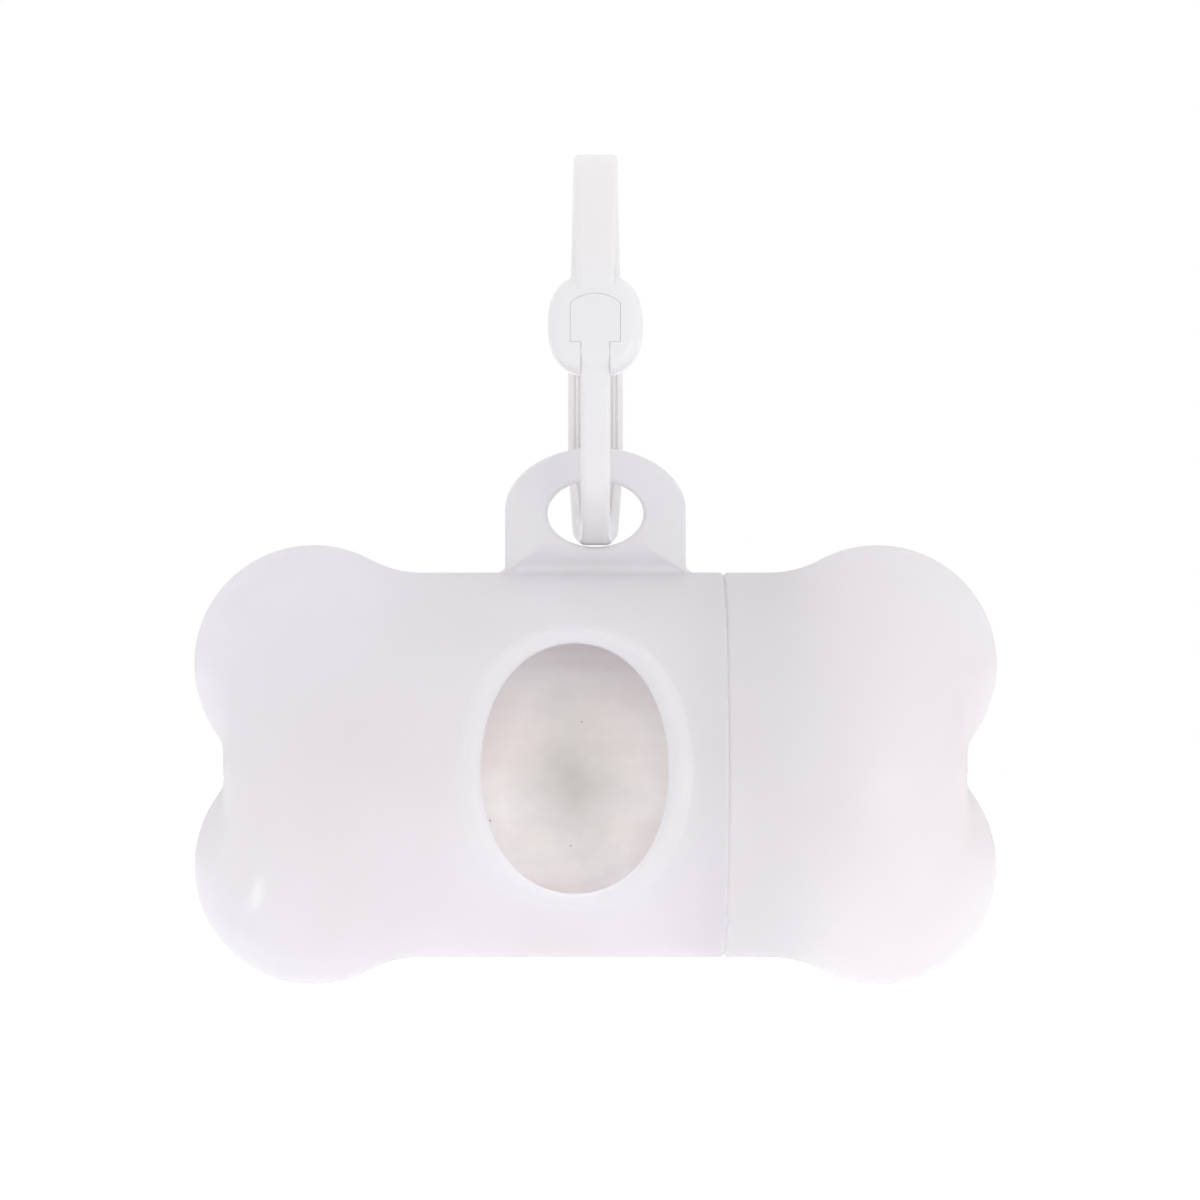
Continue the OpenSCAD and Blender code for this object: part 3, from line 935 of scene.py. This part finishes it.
@dataclass
class EndCap:
    """The short end of the bone, which slides over the case's collar."""

    form: BoneForm
    finish: MilkyPlastic
    up: float
    mouth_x: float = 13.05
    edge: float = 0.45
    bore_r: float = 18.6
    bore_end: float = 21.7
    bore_lead: float = 0.2
    inner_start: float = 69.0
    key_w: float = 2.6
    key_from: float = 16.5
    key_to: float = 22.2
    key_low: float = 17.5
    key_round: float = 0.3

    def build(self) -> Piece:
        """Builds the piece, dresses it and puts it on its body."""
        s, form = Surface(), self.form
        outer = form.end(s, 0, 1, 90)
        inner = form.end(s, form.wall, 1, self.inner_start)
        lip = [s.add(p) for p in form.bevel(self.mouth_x, self.edge, -1)]
        bore = form.rings(s, [
            (self.mouth_x, self.bore_r + self.bore_lead),
            (self.mouth_x + self.bore_lead, self.bore_r),
            (self.bore_end, self.bore_r),
        ])
        s.loft([outer[0], *lip, *bore, inner[0]])
        self.build_key(s)
        piece = s.build("cap_shell", self.up)
        return seat(piece, self.finish, Body.CAP, "end_cap")

    def build_key(self, s: Surface) -> None:
        """Adds the rib inside the cap that drops into the collar's notch."""
        half, r = self.key_w / 2, self.key_round
        top = self.bore_r + self.form.wall / 4
        section = [(-half, top), (-half, self.key_low + r), (-half + r, self.key_low)]
        section += [(-x, z) for x, z in section[::-1]]
        rows = []
        for x, shrink in ((self.key_from, r), (self.key_from + r, 0), (self.key_to, 0)):
            rows.append(s.add([(x, y, z + (shrink if z < top else 0)) for y, z in section]))
        s.loft(rows)
        s.lids(rows)


# ---- the clip ----


@dataclass(frozen=True)
class ClipForm:
    """The clip's loop: two bends joined by the spine, measured from the barrel's axis."""

    top: float = 62.2
    bottom: float = 22.4
    depth: float = 18.0
    band_t: float = 2.7
    top_w: float = 4.5
    spine_w: float = 5.7
    low_w: float = 4.8
    gate_w: float = 2.9
    taper: Pair = (60.0, 110.0)
    flare: float = 0.5
    groove: float = 0.18
    groove_step: float = 0.45
    groove_half: float = 0.14
    groove_land: float = 0.01
    corner: float = 0.55
    low_corner: float = 0.8
    round_in: float = 45.0
    round_out: float = 50.0
    round_end: float = 175.0
    corner_steps: int = 5
    bend_steps: int = 48
    nose_w: float = 9.5
    nose_h: float = 10.3
    nose_t: float = 4.8
    nose_z: float = 44.2
    head_w: float = 5.0
    head_low: float = 42.5
    head_h: float = 4.8
    head_t: float = 1.6
    head_ledge: float = 0.4
    head_arch: float = 0.75
    head_steps: int = 24
    gap: float = 0.02

    @property
    def bend_r(self) -> float:
        """The radius of a bend's middle line."""
        return (self.depth - self.band_t) / 2

    @property
    def upper_z(self) -> float:
        """The height of the upper bend's centre."""
        return self.top - self.depth / 2

    @property
    def lower_z(self) -> float:
        """The height of the lower bend's centre."""
        return self.bottom + self.depth / 2

    @property
    def front(self) -> float:
        """Where the nose's front lies."""
        return -self.bend_r - self.nose_t / 2

    def section(self, w: float, t: float, groove: float, corner: float) -> np.ndarray:
        """The band's section.

        Args:
            w: How wide it is.
            t: How thick it is.
            groove: How deep the grooves in its inner face are.
            corner: The radius of its corners.

        Returns:
            Its points, across and outward.
        """
        turn = np.linspace(0, QUARTER, self.corner_steps + 1)
        points = []
        for across, outward in ((1, 1), (-1, 1), (-1, -1), (1, -1)):
            if (across, outward) == (1, -1):
                half, floor = self.groove_half, groove - t / 2
                outer = w / 2 - corner - half - self.groove_land
                inner = max(outer - self.groove_step, half + self.groove_land)
                for x in (-outer, -inner, inner, outer):
                    points.append([(x - half, -t / 2), (x - half / 2, floor), (x + half / 2, floor),
                                   (x + half, -t / 2)])
            a = turn if across * outward > 0 else QUARTER - turn
            x = across * (w / 2 - corner + corner * np.cos(a))
            points.append(np.stack([x, outward * (t / 2 - corner + corner * np.sin(a))], 1))
        return np.concatenate(points)

    def band_ring(
        self, y: float, z: float, turn: float, w: float, t: float,
        groove: float = 0.0, corner: float | None = None,
    ) -> np.ndarray:
        """The section standing on the loop at y, z, where outward points along turn."""
        p = self.section(w, t, groove, self.corner if corner is None else corner)
        return np.stack([p[:, 0], y - p[:, 1] * math.cos(turn), z + p[:, 1] * math.sin(turn)], 1)

    def low_ring(self, degrees: float) -> np.ndarray:
        """The band's ring round the lower bend, from the spine at 0 to the gate at 180 degrees."""
        start, end = self.taper
        narrow = smooth((degrees - start) / (end - start))
        wide = self.spine_w + (self.low_w - self.spine_w) * min(degrees / start, 1)
        a = math.radians(degrees)
        y, z = self.bend_r * math.cos(a), self.lower_z - self.bend_r * math.sin(a)
        w = wide + (self.gate_w - wide) * narrow
        rounder = smooth(degrees / self.round_in)
        rounder *= smooth((self.round_end - degrees) / self.round_out)
        corner = self.corner + (self.low_corner - self.corner) * rounder
        return self.band_ring(y, z, math.pi + a, w, self.band_t, self.groove * (1 - narrow), corner)

    def head(self, more: float) -> np.ndarray:
        """The gate head's outline, grown by more: a bar with a gently arched top, in x and z."""
        half, arch_r = self.head_w / 2 + more, self.head_w * self.head_arch + more
        centre = self.head_low + self.head_h + more - arch_r
        reach = math.asin(half / arch_r)
        arc = np.linspace(reach, -reach, self.head_steps + 1)
        top = np.stack([arch_r * np.sin(arc), centre + arch_r * np.cos(arc)], 1)
        return np.vstack([[(-half, self.head_low - more), (half, self.head_low - more)], top])


def prism(name: str, outlines: list[tuple[float, np.ndarray]], up: float) -> Piece:
    """Makes a solid from outlines in x and z at given depths.

    Args:
        name: The solid's name.
        outlines: Pairs of depth and outline, front to back.
        up: How far it is raised, in millimetres.

    Returns:
        The solid.
    """
    s = Surface()
    rows = [s.add(upright(flat, y)) for y, flat in outlines]
    s.loft(rows)
    s.lids(rows)
    return s.build(name, up)


@dataclass
class Clip:
    """The clip's moulding: its band, its nose with the catch, and the gate that bends."""

    form: ClipForm
    finish: MilkyPlastic
    up: float
    nose_power: float = 2.5
    nose_steps: int = 96
    nose_edge: float = 1.6
    nose_edge_steps: int = 8
    nose_crown: float = 0.12
    catch_depth: float = 1.2
    chamfer: float = 0.03
    mouth: float = 0.04
    face_depth: float = 0.1
    crown_rows: tuple[float, ...] = (0.3, 0.6, 0.85)
    dip: float = 0.8
    overcut: float = 0.5
    splay: float = 0.6
    sliver: float = 0.02
    nose_band_w: float = 3.7
    neck_root: float = 0.35
    neck_end: float = 0.42
    neck_rows: int = 12
    groove_rate: float = 6.0
    groove_start: float = 4.0
    spine_rows: tuple[float, ...] = (0.2, 0.4, 0.6, 0.8)
    spine_full: float = 0.6
    split: float = 12.0
    split_rows: int = 4
    swell: Pair = (38.8, 41.4)
    stem: Pair = (37.6, 39.4)
    stem_corner: float = 0.12
    bend_rows: int = 56
    root_rise: Pair = (5.0, 5.6)
    root_rows: int = 16
    gate_rows: int = 20
    gate_bend: Pair = (0.1, 3.1)
    sharp: float = 32.0

    def build_band(self) -> Piece:
        """Makes the band from the nose over the top and down the spine to behind the hanger."""
        f, s = self.form, Surface()
        rows, root = [], f.nose_z + f.nose_h * self.neck_root
        full = f.nose_t / 2 - f.band_t / 2 - self.face_depth
        reach = f.upper_z - f.nose_z - f.nose_h * self.neck_end
        for share in np.linspace(0, 1, self.neck_rows + 1)[:-1]:
            z = root + (f.upper_z - root) * share
            grow = full * smooth((f.upper_z - z) / reach)
            w = self.nose_band_w + (f.top_w - f.flare - self.nose_band_w) * share
            rows.append(s.add(f.band_ring(-f.bend_r - grow / 2, z, 0.0, w, f.band_t + grow)))
        for a in np.linspace(0, math.pi, f.bend_steps + 1):
            y, z = -f.bend_r * math.cos(a), f.upper_z + f.bend_r * math.sin(a)
            share = a / math.pi * self.groove_rate - self.groove_start
            groove = f.groove * float(np.clip(share, 0, 1))
            w = f.top_w + f.flare * (2 * a / math.pi - 1)
            rows.append(s.add(f.band_ring(y, z, a, w, f.band_t, groove)))
        for share in self.spine_rows:
            z = f.upper_z + (f.lower_z - f.upper_z) * share
            grow = min(share / self.spine_full, 1)
            w = f.top_w + f.flare + (f.spine_w - f.top_w - f.flare) * grow
            rows.append(s.add(f.band_ring(f.bend_r, z, math.pi, w, f.band_t, f.groove)))
        for degrees in np.linspace(0, self.split, self.split_rows + 1):
            rows.append(s.add(f.low_ring(degrees)))
        s.loft(rows)
        s.lids(rows)
        return s.build("clip_loop", self.up, self.sharp)

    def build_nose(self) -> Piece:
        """Makes the nose: a round-cornered pad with full edges and a slight crown."""
        f, s = self.form, Surface()
        t = full_turn(self.nose_steps)
        power = 2 / self.nose_power
        x = np.sign(np.cos(t)) * np.abs(np.cos(t)) ** power
        z = np.sign(np.sin(t)) * np.abs(np.sin(t)) ** power
        half = f.nose_t / 2
        edge = round_edge(half - self.nose_crown, self.nose_edge, self.nose_edge_steps)

        def row(inset: float, y: float) -> np.ndarray:
            """Adds one outline of the nose, drawn in by inset, at depth y from its middle."""
            flat = np.stack([x * (f.nose_w / 2 - inset), z * (f.nose_h / 2 - inset)], 1)
            return s.add(upright(flat, y) + (0, -f.bend_r, f.nose_z))

        rows = [row(inset, y) for inset, y in edge]
        back, front = [], []
        for share in self.crown_rows:
            inset = self.nose_edge + (f.nose_w / 2 - self.nose_edge) * share
            rise = half - self.nose_crown * (1 - share) ** 2
            back.insert(0, row(inset, -rise))
            front.append(row(inset, rise))
        rows = back + rows + front
        s.loft(rows)
        s.fan(rows[0], s.add([(0, -f.bend_r - half, f.nose_z)]))
        s.fan(rows[-1], s.add([(0, -f.bend_r + half, f.nose_z)]))
        return s.build("nose_pad", self.up, self.sharp)

    @staticmethod
    def block(half: float, low: float, high: float) -> np.ndarray:
        """A rectangle in x and z, half as wide as it says, from low to high."""
        return np.array([(-half, low), (half, low), (half, high), (-half, high)])

    def slot(self, more: float) -> np.ndarray:
        """The stem's slot in x and z, wider by more on each side."""
        f = self.form
        high = f.head_low + self.overcut
        return self.block(f.gate_w / 2 + f.gap + more, f.nose_z - f.nose_h, high)

    def carve_catch(self, loop: Piece) -> None:
        """Cuts the catch out of the nose: the stem's slot, the head's window, and the pocket."""
        f, splay = self.form, self.chamfer + self.splay
        before, back = f.front - self.overcut, f.front + f.nose_t + f.band_t
        mouth, catch = f.front + self.chamfer + self.mouth, f.front + self.catch_depth
        grown = f.head(f.head_ledge + f.gap)
        slot = [(before, self.slot(splay)), (mouth, self.slot(0)), (back, self.slot(0))]
        window = [(before, f.head(f.gap + splay)), (mouth, f.head(f.gap)),
                  (catch + self.overcut, f.head(f.gap))]
        pocket = [(catch, grown), (back, grown)]
        half, low = f.head_w / 2 + f.head_ledge + 2 * f.gap, f.head_low - f.head_ledge - self.dip
        floor = self.block(half, low, f.head_low + f.head_ledge / 2)
        dip = [(catch + self.sliver, floor), (back - self.sliver, floor)]
        cuts = {"slot": slot, "window": window, "pocket": pocket, "dip": dip}
        for name, outlines in cuts.items():
            carve(loop, prism(name, outlines, self.up), "DIFFERENCE", self.sharp)

    def build_loop(self) -> Piece:
        """Builds the loop with its nose, and puts it on its body."""
        loop = self.build_band()
        carve(loop, self.build_nose(), "UNION", self.sharp)
        self.carve_catch(loop)
        return seat(loop, self.finish, Body.CLIP, "clip_frame")

    def build_gate(self) -> Piece:
        """Builds the lower bend and the gate in one piece, and works out, but doesn't use, the line
        at the gate's root where it bends.
        """
        f, s = self.form, Surface()
        face = -f.bend_r - f.front - self.face_depth
        step, start = self.root_rise
        heights = np.concatenate([
            np.linspace(f.lower_z, f.lower_z + step, self.root_rows),
            np.linspace(f.lower_z + start, f.head_low + f.head_ledge, self.gate_rows),
        ])
        bend = np.linspace(self.split, 180, self.bend_rows + 1)[:-1]
        rows = [s.add(f.low_ring(degrees)) for degrees in bend]
        for z in heights:
            swell, square = (smooth((z - a) / (b - a)) for a, b in (self.swell, self.stem))
            grow = (face - f.band_t / 2) * swell
            y, t = -f.bend_r - grow / 2, f.band_t + grow
            corner = f.corner + (self.stem_corner - f.corner) * square
            rows.append(s.add(f.band_ring(y, z, 0.0, f.gate_w, t, corner=corner)))
        s.loft(rows)
        s.lids(rows)
        gate = s.build("clip_gate_strip", self.up, self.sharp)
        near, ledge = f.front + self.face_depth, f.front + self.catch_depth + f.gap
        c = self.chamfer
        bar = [(near, f.head(-c)), (near + c, f.head(0)), (ledge + 0.1, f.head(0))]
        grown = f.head(f.head_ledge)
        wings = [(ledge, f.head(f.head_ledge - c)), (ledge + c, grown),
                 (ledge + f.head_t - c, grown), (ledge + f.head_t, f.head(f.head_ledge - c))]
        for name, outlines in (("bar", bar), ("wings", wings)):
            carve(gate, prism(name, outlines, self.up), "UNION", self.sharp)
        dress(gate, self.finish)
        low, high = (f.lower_z + rise + self.up for rise in self.gate_bend)
        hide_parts("clip_gate")
        start, end = (0, -f.bend_r * MM, low * MM), (0, -f.bend_r * MM, high * MM)
        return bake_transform(gate)


# ---- the roll of bags ----


@dataclass
class BagRoll:
    """The roll: its core, the wound bags, and the bag that is pulled off next."""

    film: BagFilm
    board: CoreBoard
    up: float
    length: float = 60.0
    outer_d: float = 30.0
    core_d: float = 10.4
    core_wall: float = 1.0
    film_t: float = 0.3
    gap: float = 0.05
    turns: int = 144
    film_turn: float = 344.0
    ply_ridge: float = 0.14
    edge: float = 0.6
    crease: float = 0.05
    seed: int = 7

    def ring(self, x: float, r: np.ndarray | float) -> np.ndarray:
        """A ring about the roll's axis at x, with one radius or one for each turn."""
        return wheel(x, r, full_turn(self.turns))

    def build_core(self) -> Piece:
        """Builds the board tube, with its ends slightly crushed in."""
        s, half, r = Surface(), self.length / 2, self.core_d / 2
        bore, c = r - self.core_wall, 0.15
        section = [(-half, r - c), (-half + c, r)]
        section += [(x, r) for x in np.linspace(-half + 3, half - 3, 13)]
        section += [(half - c, r), (half, r - c), (half, bore + c), (half - c, bore)]
        section += [(x, bore) for x in np.linspace(half - 3, -half + 3, 13)]
        section += [(-half + c, bore), (-half, bore + c)]
        s.loft([s.add(self.ring(x, radius)) for x, radius in section], ring=True)
        piece = s.build("core_tube", self.up)
        return seat(piece, self.board, Body.ROLL, "roll_core")

    def build_wound(self) -> Piece:
        """Builds the wound bags: smooth round the outside, with the plies' edges at the ends."""
        s, half = Surface(), self.length / 2
        rng = np.random.default_rng(self.seed)
        outer, inner = self.outer_d / 2 - self.film_t - self.gap, self.core_d / 2 + self.gap
        plies = np.linspace(inner, outer - self.edge, 40)
        rows = []
        for side in (-1, 1):
            depth = rng.uniform(0, self.ply_ridge, len(plies))
            depth[0] = depth[-1] = self.ply_ridge
            end = [(side * (half - d), r) for d, r in zip(depth, plies)]
            end.append((side * (half - self.edge), outer))
            rows += end if side < 0 else end[::-1]
        body = [(x, outer) for x in np.linspace(-half + 2, half - 2, 21)]
        bore = [(x, inner) for x in np.linspace(half - 2, -half + 2, 11)]
        split = len(plies) + 1
        section = rows[:split] + body + rows[split:] + bore
        s.loft([s.add(self.ring(x, r)) for x, r in section], ring=True)
        piece = s.build("wound_bags", self.up, 60)
        return seat(piece, self.film, Body.ROLL, "bag_roll")

    def build_leading(self) -> Piece:
        """Builds the outermost bag: a sheet round the roll that stops short of a full turn."""
        s, half = Surface(), self.length / 2 - self.edge
        span = math.radians(self.film_turn)
        start = QUARTER + (2 * math.pi - span) / 2
        turn = start + np.linspace(0, span, 173)
        outer = self.outer_d / 2
        lines = np.linspace(-half, half, 61)

        def skin(x: float, depth: float) -> np.ndarray:
            """The sheet's points at x, depth from its outside, with faint creases along it."""
            wave = np.sin(9 * turn + 0.05 * x) + 0.6 * np.sin(17 * turn - 0.11 * x + 1.3)
            wave += 0.5 * np.sin(0.35 * x + 2 * turn)
            r = outer - depth - self.crease * (1.5 - wave) / 3.6 * (depth < self.film_t / 2)
            return wheel(x, r, turn)

        rows = [s.add(skin(x, 0)) for x in lines]
        rows += [s.add(skin(x, self.film_t)) for x in lines[::-1]]
        s.loft(rows, closed=False, ring=True)
        for j in (0, len(turn) - 1):
            edge, n = [row[j] for row in rows], len(lines)
            for i in range(n - 1):
                s.faces.append((edge[i], edge[i + 1], edge[2 * n - 2 - i], edge[2 * n - 1 - i]))
        piece = s.build("next_bag", self.up, 60)
        return seat(piece, self.film, Body.ROLL, "leading_bag")


# ---- putting pieces in place ----


def dress(piece: Piece, finish: Finish) -> None:
    """Gives a piece its finish, made once for each name."""
    material = bpy.data.materials.get(finish.name) or finish.material()
    piece.data.materials.clear()
    piece.data.materials.append(material)


def seat(piece: Piece, finish: Finish, body: Body, node: str) -> Piece:
    """Dresses a piece, puts it on its body and lets it stand for its solid.

    Args:
        piece: The piece.
        finish: What it is made of.
        body: The body that it rides on.
        node: The solid that it stands for.

    Returns:
        The piece.
    """
    dress(piece, finish)
    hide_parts(node)
    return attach(piece, body.value)


# ---- the studio ----


@dataclass(frozen=True)
class Lamp:
    """A round soft lamp: its name, place and width in metres, and its power in watts."""

    name: str
    place: Triple
    size: float
    power: float


@dataclass
class Studio:
    """A white room: pale floor, a soft lamp, small low ones for glints, and the camera ahead."""

    floor_z: float
    camera_at: Triple = (0.00046, -0.380, -0.0427)
    lens_mm: float = 111.7
    clip: Pair = (0.01, 50.0)
    aim_drop: float = 0.017
    floor_half: float = 3.0
    floor_colour: Triple = (240, 240, 241)
    stain_colour: Triple = (225, 225, 228)
    stain: float = 0.04
    stain_scale: float = 9.0
    floor_glow: float = 0.55
    sky_top: float = 1.09
    sky_low: float = 0.99
    front_dim: float = 0.45
    lamps: tuple[Lamp, ...] = (
        Lamp("lamp_right", (0.27, -0.32, -0.12), 0.2, 0.16),
        Lamp("glint_left", (-0.199, -0.02, -0.184), 0.03, 0.026),
        Lamp("glint_right", (0.194, -0.046, -0.184), 0.03, 0.01),
        Lamp("glint_front", (-0.016, -0.183, -0.178), 0.014, 0.005),
    )

    def build_camera(self) -> None:
        """Puts the camera where the photograph was taken from."""
        data = bpy.data.cameras.new("camera")
        data.sensor_width = 36
        data.lens = self.lens_mm
        data.clip_start, data.clip_end = self.clip
        camera = bpy.data.objects.new("camera", data)
        camera.location = self.camera_at
        camera.rotation_euler = (QUARTER, 0, 0)
        bpy.context.scene.collection.objects.link(camera)
        bpy.context.scene.camera = camera

    def build_lamp(self, lamp: Lamp) -> None:
        """Adds a lamp that looks at the case and that the camera doesn't see."""
        data = bpy.data.lights.new(lamp.name, "AREA")
        data.shape, data.size, data.energy = "DISK", lamp.size, lamp.power
        light = bpy.data.objects.new(lamp.name, data)
        light.location = lamp.place
        light.visible_camera = False
        aim = np.array((0, 0, self.camera_at[2] - self.aim_drop)) - lamp.place
        light.rotation_euler = (
            math.atan2(math.hypot(aim[0], aim[1]), -aim[2]), 0, math.atan2(-aim[0], aim[1])
        )
        bpy.context.scene.collection.objects.link(light)

    def build_floor(self) -> None:
        """Adds the floor, which the camera sees white but which keeps the shadow."""
        s, h = Surface(), self.floor_half / MM
        s.faces.append(tuple(s.add([(-h, -h, 0), (h, -h, 0), (h, h, 0), (-h, h, 0)])))
        floor = s.build("floor", self.floor_z / MM)
        d = Dressing.of("studio_floor")
        stain = d.between(d.noise(self.stain_scale), 0.3, 0.7, 0.0, self.stain)
        tone = d.blend(stain, self.floor_colour, self.stain_colour)
        matt = d.node("BsdfDiffuse", {"Color": tone})
        strength = d.maths("MULTIPLY", self.seen(d), self.floor_glow)
        glow = d.node("Emission", {"Strength": strength})
        both = d.node("AddShader", {0: matt.outputs[0], 1: glow.outputs[0]})
        floor.data.materials.append(d.finish(both.outputs[0]))

    @staticmethod
    def seen(d: Dressing) -> Socket:
        """Whether a ray comes from the camera, a reflection or through something clear."""
        path = d.node("LightPath").outputs
        first = d.maths("MAXIMUM", path["Is Camera Ray"], path["Is Glossy Ray"])
        return d.maths("MAXIMUM", first, path["Is Transmission Ray"])

    def build_sky(self) -> None:
        """Fills the room with light, weaker from below and from the front, and white when seen."""
        world = bpy.data.worlds.new("studio")
        bpy.context.scene.world = world
        d = Dressing(world, "World")
        way = d.node("TexCoord").outputs["Generated"]
        parts = d.node("SeparateXYZ", {0: way}).outputs
        strength = d.between(parts["Z"], -0.1, 0.9, self.sky_low, self.sky_top)
        front = d.between(parts["Y"], -0.98, -0.75, 1 - self.front_dim, 1.0)
        levels = (d.maths("MULTIPLY", strength, front), 1.0)
        room, white = (
            d.node("Background", {"Color": (1, 1, 1, 1), "Strength": level}).outputs[0]
            for level in levels
        )
        d.finish(d.mix(self.seen(d), room, white))

    def build(self) -> None:
        """Builds the room."""
        scene = bpy.context.scene
        scene.view_settings.view_transform = "Standard"
        self.build_camera()
        self.build_sky()
        self.build_floor()
        for lamp in self.lamps:
            self.build_lamp(lamp)


def middle_height(node: str) -> float:
    """The height of the middle of a solid, in millimetres."""
    low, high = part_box(node)
    return (low.z + high.z) / 2 / MM


def main() -> None:
    """Builds the dispenser's pieces in order, then the studio round them."""
    logging.basicConfig(level=logging.INFO, format="%(name)s: %(message)s")
    axis, roll_axis = (middle_height(node) for node in ("end_cap", "roll_core"))
    bone = BoneForm()
    case_plastic = MilkyPlastic("milky_case")
    # Painted light: the cap is the case's plastic with a lighter, warmer tint, standing in for the
    # stronger light on the right.
    cap_plastic_painted_lighter = MilkyPlastic("milky_cap_painted_light", tint=(250.9, 250.0, 251.6), cloud=(249.4, 247.6, 248.8))
    clip_plastic = MilkyPlastic(
        "milky_clip", tint=(246.5, 245.5, 247.5), cloud=(245.5, 242.8, 243.5), clear=0.12
    )
    clip = Clip(ClipForm(), clip_plastic, axis)
    roll = BagRoll(BagFilm("wound_film"), CoreBoard("wound_board"), roll_axis)
    builders = [
        Case(bone, case_plastic, axis).build,
        EndCap(bone, cap_plastic_painted_lighter, axis).build,
        clip.build_loop,
        clip.build_gate,
        roll.build_core,
        roll.build_wound,
        roll.build_leading,
    ]
    for build in builders:
        piece = build()
        LOG.info("%s: %d faces", piece.name, len(piece.data.polygons))
    Studio(floor_z=cad_box[0][2] - FLOOR_DROP).build()
    LOG.info("studio is ready")


if __name__ == "__main__":
    main()
